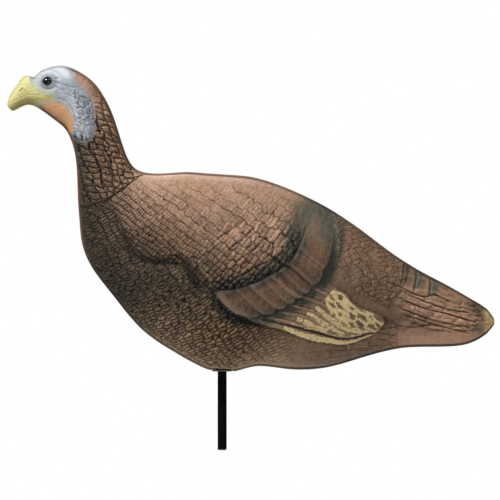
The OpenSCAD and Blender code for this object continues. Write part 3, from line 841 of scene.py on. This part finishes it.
def makePaint(seed, masks, cavity, crest):
    paint = np.broadcast_to(chips["saddleBrown"], sideX.shape + (3,)).copy()
    wobble = waves(sideX, sideZ, seed + 80, 26)
    for chip, radius, strength, path in sprays:
        spray(paint, chip, strength * stroke(path, radius))
    paintWing(paint, masks, wobble, seed)
    bare = masks["bare"]
    # painted shade in the deeper grooves, weaker on the bare skin
    spray(paint, "grooveShade", 0.85 * masks["cut"] * (1 - 0.6 * bare))
    paintHead(paint, masks, crest, wobble, seed)

    # painted shade in the cracks, partly a warm dark wash; crests lightened, partly dry-brush and partly
    # painted highlight; and painted shade along the foam's edge
    paint *= 1 - cavity[..., None] * np.array([0.50, 0.57, 0.64]) * (1 - 0.6 * bare[..., None])
    # crests lightened towards tan: partly dry-brush, partly painted highlight
    paint += (crest * 0.16 * (1 - bare))[..., None] * (chips["backTan"] - paint * 0.3)
    # painted shade along the top edge, broken at the back's notch, and along the bottom edge, both stopping
    # short of the beak
    notch = 1 - 0.8 * np.exp(-((sideX - 2) / 11) ** 4)
    spray(paint, "rimDark", 0.6 * np.exp(-(fromTop / 1.5) ** 2) * notch * ramp(sideX, -275, -262))
    spray(paint, "rimDark", 0.75 * np.exp(-(fromFoot / 2.6) ** 2) * ramp(sideX, -262, -245))
    return np.clip(paint, 0.002, 1)


def makeSkin(seed):
    # everything the skin's points carry
    height, masks = makeRelief(seed)
    soft = blur(height, 2.0)
    cavity = np.clip((soft - height) / 0.5, 0, 1)
    crest = np.clip((height - soft) / 0.42, 0, 1)
    return {"relief": height, "cavity": cavity, "crest": crest, "bare": masks["bare"],
            "stencil": makeStencil(seed), **makePlates(masks, seed),
            "paint": makePaint(seed, masks, cavity, crest)}


def quads(rows, inward=False):
    # the faces between neighbouring rows of point numbers
    a, b, c, d = rows[:-1, :-1], rows[:-1, 1:], rows[1:, 1:], rows[1:, :-1]
    return np.stack([a, b, c, d] if inward else [a, d, c, b], axis=2).reshape(-1, 4).tolist()


def writeMesh(name, points, faces, carried):
    mesh = bpy.data.meshes.new(name)
    mesh.from_pydata(points.tolist(), [], faces)
    for key, parts in carried.items():
        values = np.concatenate(parts).astype(np.float32)
        if key == "paint":
            layer = mesh.color_attributes.new(key, "FLOAT_COLOR", "POINT")
            opaque = np.ones((len(values), 1), np.float32)
            layer.data.foreach_set("color", np.hstack([values, opaque]).ravel())
        elif key == "plates":
            mesh.attributes.new(key, "FLOAT_VECTOR", "POINT").data.foreach_set("vector", values.ravel())
        else:
            mesh.attributes.new(key, "FLOAT", "POINT").data.foreach_set("value", values)
    mesh.validate()
    mesh.polygons.foreach_set("use_smooth", np.ones(len(mesh.polygons), bool))
    obj = bpy.data.objects.new(name, mesh)
    bpy.context.scene.collection.objects.link(obj)
    return obj


def shellMesh(name, side, seed):
    # one closed half: its skin, its rim, its two tips, its lining and the flat face where the halves meet
    skin = makeSkin(seed)
    low, high, thick, span = shell["low"], shell["high"], shell["thick"], shell["span"]
    grid, at = shell["grid"], shell["at"]
    verts = []
    carried = {key: [] for key in skin}
    wide = ("paint", "plates")     # these carry three numbers, the rest one

    def put(points, **values):
        # adds points in mm and returns their numbers
        points = np.atleast_2d(points)
        first = sum(len(v) for v in verts)
        verts.append(points)
        for key, parts in carried.items():
            value = values.get(key, chips["rimDark"] if key == "paint" else 0.0)
            parts.append(np.broadcast_to(value, (len(points), 3) if key in wide else len(points)))
        return first + np.arange(len(points))

    values = {key: part.reshape(-1, 3) if key in wide else part.ravel() for key, part in skin.items()}
    skinNumbers = put(grid.reshape(-1, 3), **values).reshape(ringCount, columnCount)

    # the paint carries over onto the rim, darkened by painted shade at the edge (less on the head), and
    # reddish down the breast
    inwards = (high - low) / span[:, None] * np.minimum(bird["rimWidth"], bird["rimShare"] * span)[:, None]
    reddish = ramp(low[:, 1], 250, 290) * (1 - ramp(low[:, 1], 440, 460)) * (low[:, 0] < -150)
    rims = []
    for ends, inward, near, red in ((low, inwards, 3, 0.8), (high, -inwards, -4, 0)):
        tint = skin["paint"][:, near] * (0.45 + 0.5 * ramp(-ends[:, 0], 205, 235)[:, None])
        tint = tint + (chips["rimRed"] - tint) * (red * reddish)[:, None]
        for drop, share, shade in bird["rimProfile"]:
            x, z = (ends + inward * share).T
            rims.append(put(np.stack([x, -drop * thick, z], axis=1), paint=tint * shade))
    count = len(bird["rimProfile"])
    numbers = np.column_stack([*rims[:count], skinNumbers, *rims[:count - 1:-1]])
    faces = quads(numbers)

    def tip(ring, nudge):
        x, z = (low[ring] + high[ring]) / 2
        return int(put([x + nudge, 0, z], paint=skin["paint"][ring, mid])[0])

    beakTip = tip(0, -bird["tipReach"])
    tailTip = tip(-1, bird["tipReach"])
    first, last = numbers[0].tolist(), numbers[-1].tolist()
    faces += [[beakTip, p, q] for p, q in zip(first, first[1:])]
    faces += [[tailTip, q, p] for p, q in zip(last, last[1:])]
    faces += [[beakTip, first[-1], first[0]], [tailTip, last[0], last[-1]]]

    # the lining
    step = bird["liningStep"]
    start = int(np.searchsorted(at, bird["hollowFrom"]))
    stop = int(np.searchsorted(at, at[-1] - bird["hollowTo"]))
    rings = list(range(start, stop, step))
    rings[-1] = stop
    evened = (1 - np.cos(np.linspace(0, math.pi, bird["liningColumns"]))) / 2
    rows = []
    for i in rings:
        margin = (bird["rimWidth"] + 0.85 * bird["wall"]) / span[i]
        share = margin + (1 - 2 * margin) * evened
        x, z = (low[i] + (high[i] - low[i]) * share[:, None]).T
        deep = np.interp(share, shell["share"][i], -grid[i, :, 1]) - bird["wall"] - bird["carvingRoom"]
        deep = np.maximum(deep, 0.05)
        deep[0] = deep[-1] = 0
        rows.append(put(np.stack([x, -deep, z], axis=1)))
    lining = np.array(rows)
    faces += quads(lining, inward=True)
    faces += [lining[0, ::-1].tolist(), lining[-1].tolist()]

    # the flat face, beside the hollow and across the solid beak and tail tip
    foot, top = numbers[:, 0].tolist(), numbers[:, -1].tolist()
    liningFoot, liningTop = lining[:, 0].tolist(), lining[:, -1].tolist()
    for k, (i, j) in enumerate(zip(rings, rings[1:])):
        faces.append([liningFoot[k], liningFoot[k + 1], *foot[i:j + 1][::-1]])
        faces.append([liningTop[k + 1], liningTop[k], *top[i:j + 1]])
    for i in range(0, start, step):
        j = min(i + step, start)
        hollow = [liningTop[0], liningFoot[0]] if j == start else []
        faces.append(foot[i:j + 1][::-1] + top[i:j + 1] + hollow)
    for i in range(stop, ringCount - 1, step):
        j = min(i + step, ringCount - 1)
        hollow = [liningFoot[-1], liningTop[-1]] if i == stop else []
        faces.append(foot[i:j + 1][::-1] + hollow + top[i:j + 1])

    points = np.concatenate(verts) * mm
    if side > 0:
        points[:, 1] *= -1
        faces = [f[::-1] for f in faces]
    return writeMesh(name, points, faces, carried)


def calculate(tree, operation, first, second=0.0):
    return addNode(tree, "ShaderNodeMath", {0: first, 1: second}, operation=operation).outputs[0]


def addPlates(tree, place, scale, looseness, softness):
    # one plate to each cell of the creases' numbering: its rise from the crease, and its own number
    cells = {"Vector": place, "Scale": scale, "Randomness": looseness}
    edge, body = (addNode(tree, "ShaderNodeTexVoronoi", cells, voronoi_dimensions="2D", feature=feature)
                  for feature in ("DISTANCE_TO_EDGE", "F1"))
    rise = addNode(tree, "ShaderNodeMapRange", {"Value": edge.outputs["Distance"], "From Max": softness},
                   interpolation_type="SMOOTHSTEP")
    own = addNode(tree, "ShaderNodeSeparateXYZ", {0: body.outputs["Color"]})
    return rise.outputs[0], own.outputs[0]


def reliefTree():
    # pushes a smooth shell out along its normals: by its carved relief, by the plates between its
    # creases, and by a fine grain on top
    tree, given, result = newTree(
        "shellRelief", "GeometryNodeTree",
        {"Geometry": "Geometry", "Depth": 1.0, "Plate Height": 1.0, "Grain": 0.05, "Grain Size": 2.5,
         "Seed": 0.0, "Finish": "Material"}, {"Geometry": "Geometry"})

    def attribute(name, kind="FLOAT"):
        node = addNode(tree, "GeometryNodeInputNamedAttribute", {"Name": name}, data_type=kind)
        return node.outputs["Attribute"]

    def times(first, second):
        return calculate(tree, "MULTIPLY", first, second)

    def plus(first, second):
        return calculate(tree, "ADD", first, second)

    # the plates: high in the middle of each cell, low along its creases
    place = attribute("plates", "FLOAT_VECTOR")
    height = addNode(tree, "ShaderNodeSeparateXYZ", {0: place}).outputs["Z"]
    rise, own = addPlates(tree, place, 1, attribute("looseness"), plus(attribute("softness"), 0.10))
    stand = plus(plus(rise, times(own, 0.5)), -0.95)
    plates = times(times(stand, height), given["Plate Height"])

    spot = addNode(tree, "GeometryNodeInputPosition").outputs[0]
    perMetre = calculate(tree, "DIVIDE", 1000.0, given["Grain Size"])
    noise = addNode(tree, "ShaderNodeTexNoise", {"Vector": spot, "W": given["Seed"], "Detail": 2,
                                                 "Scale": perMetre}, noise_dimensions="4D")
    carved = attribute("relief")
    touched = calculate(tree, "GREATER_THAN", calculate(tree, "ABSOLUTE", carved), 0.0005)
    grained = times(calculate(tree, "SUBTRACT", noise.outputs[0], 0.5), given["Grain"])
    push = plus(plus(times(carved, given["Depth"]), plates), times(grained, touched))

    normal = addNode(tree, "GeometryNodeInputNormal").outputs[0]
    along = addNode(tree, "ShaderNodeVectorMath", {0: normal, "Scale": times(push, mm)}, operation="SCALE")
    move = addNode(tree, "GeometryNodeSetPosition",
                   {"Geometry": given["Geometry"], "Offset": along.outputs[0]})
    real = addNode(tree, "GeometryNodeRealizeInstances", {0: move.outputs[0]})
    finish = addNode(tree, "GeometryNodeSetMaterial",
                     {"Geometry": real.outputs[0], "Material": given["Finish"]})
    join(tree, finish.outputs[0], result[0])
    return tree


def setInputs(modifier, values):
    sockets = {s.name: s.identifier for s in modifier.node_group.interface.items_tree
               if s.item_type == "SOCKET" and s.in_out == "INPUT"}
    for name, value in values.items():
        modifier[sockets[name]] = value


def bake(obj):
    # the evaluated shape becomes the object's own mesh
    bpy.context.view_layer.update()
    graph = bpy.context.evaluated_depsgraph_get()
    mesh = bpy.data.meshes.new_from_object(obj.evaluated_get(graph))
    obj.modifiers.clear()
    obj.data = mesh


def grainGroup():
    # fine pebbled grain, and slow unevenness
    tree, given, result = newTree("mouldedGrain", "ShaderNodeTree",
                                  {"Vector": "Vector", "Scale": 900.0, "Slow Scale": 40.0},
                                  {"Grain": "Float", "Patches": "Float"})
    for scale, out, detail, roughness in (("Scale", "Grain", 3, 0.6), ("Slow Scale", "Patches", 4, 0.55)):
        noise = addNode(tree, "ShaderNodeTexNoise", {"Vector": given["Vector"], "Scale": given[scale],
                                                     "Detail": detail, "Roughness": roughness})
        join(tree, noise.outputs[0], result[out])
    return tree


def scuffGroup():
    # thin scratches and rubbed spots, 0 to 1
    tree, given, result = newTree("scuffs", "ShaderNodeTree",
                                  {"Vector": "Vector", "Scale": 60.0, "Stretch": 8.0, "Amount": 0.5},
                                  {"Mask": "Float"})
    squeeze = addNode(tree, "ShaderNodeCombineXYZ",
                      {"X": 1, "Y": 1, "Z": calculate(tree, "DIVIDE", 1, given["Stretch"])})
    place = addNode(tree, "ShaderNodeVectorMath", {0: given["Vector"], 1: squeeze.outputs[0]},
                    operation="MULTIPLY")
    noise = addNode(tree, "ShaderNodeTexNoise", {"Vector": place.outputs[0], "Scale": given["Scale"],
                                                 "Detail": 5, "Roughness": 0.7})
    cut = addNode(tree, "ShaderNodeMapRange",
                  {"Value": noise.outputs[0], "From Min": 0.58, "From Max": 0.70})
    join(tree, calculate(tree, "MULTIPLY", cut.outputs[0], given["Amount"]), result["Mask"])
    return tree


def creaseGroup():
    # the creases between plates, read from the same numbering as the carving
    tree, given, result = newTree("plateCreases", "ShaderNodeTree",
                                  {"Vector": "Vector", "Scale": 1.0, "Looseness": 0.5, "Softness": 0.1},
                                  {"Rise": "Float", "Tone": "Float"})
    rise, tone = addPlates(tree, given["Vector"], given["Scale"], given["Looseness"], given["Softness"])
    join(tree, rise, result["Rise"])
    join(tree, tone, result["Tone"])
    return tree


grain = grainGroup()
scuffs = scuffGroup()
creases = creaseGroup()


class Finish:
    # one material, with short ways to add and join its nodes
    def __init__(self, name, settings):
        self.material, self.tree, self.shader = newMaterial(name)
        for socket, value in settings.items():
            self.set(socket, value)
        self.place = addNode(self.tree, "ShaderNodeTexCoord").outputs["Object"]

    def set(self, socket, value):
        join(self.tree, value, self.shader.inputs[socket])

    def group(self, tree, inputs):
        inputs = {"Vector": self.place, **inputs}
        return addNode(self.tree, "ShaderNodeGroup", inputs, node_tree=tree).outputs

    def attribute(self, name, output="Fac"):
        return addNode(self.tree, "ShaderNodeAttribute", attribute_name=name).outputs[output]

    def mix(self, factor, first, second, blend="MIX"):
        return addNode(self.tree, "ShaderNodeMix", {"Factor": factor, 6: first, 7: second},
                       data_type="RGBA", blend_type=blend).outputs[2]

    def range(self, value, low, high, to=(0.0, 1.0)):
        inputs = {"Value": value, "From Min": low, "From Max": high, "To Min": to[0], "To Max": to[1]}
        return addNode(self.tree, "ShaderNodeMapRange", inputs).outputs["Result"]

    def plus(self, first, second):
        return calculate(self.tree, "ADD", first, second)

    def minus(self, first, second):
        return calculate(self.tree, "SUBTRACT", first, second)

    def times(self, first, second):
        return calculate(self.tree, "MULTIPLY", first, second)

    def creases(self, scale, softness):
        return self.group(creases, {"Vector": self.attribute("plates", "Vector"), "Scale": scale,
                                    "Softness": softness, "Looseness": self.attribute("looseness")})

    def bump(self, height, strength, distance):
        node = addNode(self.tree, "ShaderNodeBump",
                       {"Strength": strength, "Distance": distance, "Height": height})
        self.set("Normal", node.outputs[0])


foam = {
    "grainScale": 1000.0, "patchScale": 26.0,
    "speckleScale": 430.0, "speckleSlow": 110.0,
    "stippleScale": 1150.0, "stippleSlow": 330.0,
    "grainHeight": 0.00036, "creaseHeight": 0.0026,
    "roughness": (0.46, 0.68),
    "warmSpray": (1.18, 1.02, 0.88), "darkFleck": (0.62, 0.59, 0.56), "paleFleck": (1.38, 1.34, 1.30),
    "wornAndHighlit": (0.50, 0.40, 0.31),
}


def paintedFoam():
    f = Finish("paintedFoam", {"Specular IOR Level": 0.36})
    fine = f.group(grain, {"Scale": foam["grainScale"], "Slow Scale": foam["patchScale"]})
    speckle = f.group(grain, {"Scale": foam["speckleScale"], "Slow Scale": foam["speckleSlow"]})
    dots = f.group(grain, {"Scale": foam["stippleScale"], "Slow Scale": foam["stippleSlow"]})
    paint = f.attribute("paint", "Color")
    bare = f.attribute("bare")
    # overspray in patches of slightly warmer brown
    mottled = f.mix(f.range(fine["Patches"], 0.35, 0.65, (0.0, 0.35)), paint,
                    f.mix(1.0, paint, foam["warmSpray"], "MULTIPLY"))
    # cream stippled on through a stencil: its edge breaks up into dots
    stencil = f.attribute("stencil")
    spread = f.plus(f.minus(dots["Grain"], 0.5), f.minus(dots["Patches"], 0.5))
    spread = f.times(spread, f.range(stencil, 0.02, 0.35, (0.0, 2.8)))
    creamed = f.range(f.plus(stencil, spread), 0.46, 0.66, (0.0, 0.92))
    mottled = f.mix(creamed, mottled, tuple(chips["cream"]))
    # plates take the paint unevenly; taller plates are painted a touch lighter and their creases darker,
    # partly a dark wash and partly painted shade
    plates = f.creases(1.0, f.attribute("softness"))
    small = f.creases(2.3, 0.22)
    standing = addNode(f.tree, "ShaderNodeSeparateXYZ", {0: f.attribute("plates", "Vector")}).outputs["Z"]
    height = calculate(f.tree, "MINIMUM", standing, 2.2)
    loose = f.times(height, f.range(f.attribute("looseness"), 0.0, 0.2))
    uneven = f.times(f.minus(plates["Tone"], 0.5), f.times(height, 0.24))
    shade = f.plus(f.plus(1.0, f.times(height, 0.06)), uneven)
    strength = f.times(height, f.range(speckle["Patches"], 0.35, 0.65, (0.14, 0.36)))
    # painted shade in the creases, stronger in patches, and in the finer creases where plates are loose
    creaseShade = f.times(f.minus(1.0, plates["Rise"]), strength)
    fineCreaseShade = f.times(f.minus(1.0, small["Rise"]), f.times(loose, 0.10))
    shade = f.minus(f.minus(shade, creaseShade), fineCreaseShade)
    grey = addNode(f.tree, "ShaderNodeCombineXYZ", {0: shade, 1: shade, 2: shade}).outputs[0]
    washedAndShaded = f.mix(1.0, mottled, grey, "MULTIPLY")
    # dark and pale flecks, and crests lightened in patches, partly worn to the foam and partly painted
    # highlight; the bare skin keeps fewer of them
    dark = f.mix(1.0, washedAndShaded, foam["darkFleck"], "MULTIPLY")
    flecked = f.mix(f.range(speckle["Grain"], 0.50, 0.64, (0.0, 0.55)), washedAndShaded, dark)
    pale = f.mix(1.0, flecked, foam["paleFleck"], "MULTIPLY")
    flecked = f.mix(f.range(fine["Grain"], 0.54, 0.68, (0.0, 0.55)), flecked, pale)
    # crests lightened in patches: partly worn to the foam, partly painted highlight
    rubbed = f.times(f.attribute("crest"), f.range(speckle["Patches"], 0.4, 0.7, (0.0, 0.20)))
    wornAndHighlit = f.mix(rubbed, flecked, foam["wornAndHighlit"])
    f.set("Base Color", f.mix(f.times(bare, 0.7), wornAndHighlit, washedAndShaded))
    rough = f.range(speckle["Patches"], 0.3, 0.7, foam["roughness"])
    rough = f.plus(rough, f.times(f.attribute("cavity"), 0.2))
    f.set("Roughness", f.minus(rough, f.times(bare, 0.12)))
    pebbles = f.plus(fine["Grain"], f.times(speckle["Grain"], 1.6))
    rise = f.plus(f.times(plates["Rise"], height), f.times(small["Rise"], f.times(loose, 0.3)))
    f.bump(f.plus(f.times(pebbles, foam["grainHeight"]), f.times(rise, foam["creaseHeight"])), 1.0, 1.0)
    return f.material


def plainFinish(name, base, second, roughness, grainScale, height, scuffed=0.3, **settings):
    # moulded plastic, paint or steel: two close tones, scuffs and a fine grain
    f = Finish(name, settings)
    tones = f.group(grain, {"Scale": grainScale, "Slow Scale": grainScale * 0.08})
    marks = f.group(scuffs, {"Scale": 90.0, "Stretch": 10.0, "Amount": scuffed})
    rubbed = tuple(min(1, c * 1.8 + 0.02) for c in second)
    mottled = f.mix(f.range(tones["Patches"], 0.35, 0.65), base, second)
    f.set("Base Color", f.mix(marks["Mask"], mottled, rubbed))
    rough = f.range(tones["Patches"], 0.3, 0.7, roughness)
    f.set("Roughness", f.plus(rough, f.times(marks["Mask"], 0.25)))
    f.bump(tones["Grain"], 0.4, height)
    return f.material


def eyeFinish():
    # black glass-like dome with a deep brown ring
    f = Finish("glossyEye", {"Coat Weight": 0.5, "Coat Roughness": 0.03, "Specular IOR Level": 0.25})
    tones = f.group(grain, {"Scale": 700.0, "Slow Scale": 160.0})
    black, brown = (0.002, 0.002, 0.002), (0.008, 0.005, 0.004)
    f.set("Base Color", f.mix(f.range(tones["Patches"], 0.4, 0.6), black, brown))
    f.set("Roughness", f.range(tones["Grain"], 0.3, 0.7, (0.05, 0.10)))
    return f.material


foamFinish = paintedFoam()
finishes = {
    "eyes": eyeFinish(),
    "tube": plainFinish("blackTube", (0.001, 0.001, 0.001), (0.003, 0.003, 0.003), (0.55, 0.70), 1400.0,
                        0.00004, 0.10, **{"Specular IOR Level": 0.04}),
    "black": plainFinish("blackPlastic", (0.020, 0.019, 0.018), (0.034, 0.032, 0.030), (0.45, 0.60), 900.0,
                         0.00008),
    "brown": plainFinish("brownPlastic", (0.085, 0.058, 0.034), (0.11, 0.078, 0.048), (0.50, 0.66), 900.0,
                         0.00010),
    "nylon": plainFinish("whiteNylon", (0.66, 0.64, 0.57), (0.74, 0.72, 0.66), (0.38, 0.52), 700.0,
                         0.00006),
    "steel": plainFinish("bareSteel", (0.42, 0.42, 0.43), (0.52, 0.52, 0.53), (0.24, 0.38), 1800.0, 0.00003,
                         Metallic=1.0),
}
wearers = {
    "eyes": ["left_eye", "right_eye"],
    "tube": ["stake_tube"],
    "brown": ["belly_grommet"],
    "black": ["grommet_washer", "back_saddle", "tube_cap", "foot_bush"],
    "nylon": ["pivot_cup", "left_eye_washer", "right_eye_washer"],
    "steel": ["ground_rod", "rod_stop"],
}
for finish, names in wearers.items():
    for name in names:
        data = frame["nodes"][name].data
        data.materials.clear()
        data.materials.append(finishes[finish])
print("finishes: painted foam and", len(finishes), "others")


hole = {
    "clearance": 0.3,      # round the grommet's flange, in mm as all of these
    "below": 12.0,         # how far the cutter starts under the grommet
    "flangeSeat": 1.9,     # how deep the flange is let in
    "sleeveInset": 1.35,   # how much narrower the sleeve's hole is than the pivot cup
    "above": 14.0,         # how far it goes past the washer's underside
    "sides": 64,
}


def holeCutter():
    # the stepped hole for the grommet, as a turned shape
    low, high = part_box("belly_grommet")
    flange = (high.x - low.x) / 2 + hole["clearance"] * mm
    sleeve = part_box("pivot_cup")[1].x - hole["sleeveInset"] * mm
    seat = low.z + hole["flangeSeat"] * mm
    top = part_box("grommet_washer")[0].z + hole["above"] * mm
    profile = [(flange, low.z - hole["below"] * mm), (flange, seat), (sleeve, seat), (sleeve, top)]
    sides = hole["sides"]
    turnAngles = [2 * math.pi * k / sides for k in range(sides)]
    verts = [(r * math.cos(t), r * math.sin(t), z) for r, z in profile for t in turnAngles]
    faces = [[ring + k, ring + (k + 1) % sides, ring + sides + (k + 1) % sides, ring + sides + k]
             for ring in range(0, 3 * sides, sides) for k in range(sides)]
    faces += [list(range(sides))[::-1], [3 * sides + k for k in range(sides)]]
    mesh = bpy.data.meshes.new("holeCutter")
    mesh.from_pydata(verts, [], faces)
    cutter = bpy.data.objects.new("holeCutter", mesh)
    bpy.context.scene.collection.objects.link(cutter)
    return cutter


relief = reliefTree()
cutter = holeCutter()
halves = [
    # name, the CAD piece, its side, seed
    ("leftFoamShell", "left_shell", -1, 3),
    ("rightFoamShell", "right_shell", 1, 11),
]
for name, node, side, seed in halves:
    half = shellMesh(name, side, seed)
    carve = half.modifiers.new("relief", "NODES")
    carve.node_group = relief
    setInputs(carve, {"Depth": 1.0, "Plate Height": 1.0, "Grain": 0.12, "Grain Size": 3.2,
                      "Seed": float(seed), "Finish": foamFinish})
    cut = half.modifiers.new("hole", "BOOLEAN")
    cut.operation = "DIFFERENCE"
    cut.solver = "EXACT"
    cut.object = cutter
    bake(half)
    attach(half, "decoy")
    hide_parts(node)
    print("shell:", name, len(half.data.polygons), "faces")
bpy.data.objects.remove(cutter)
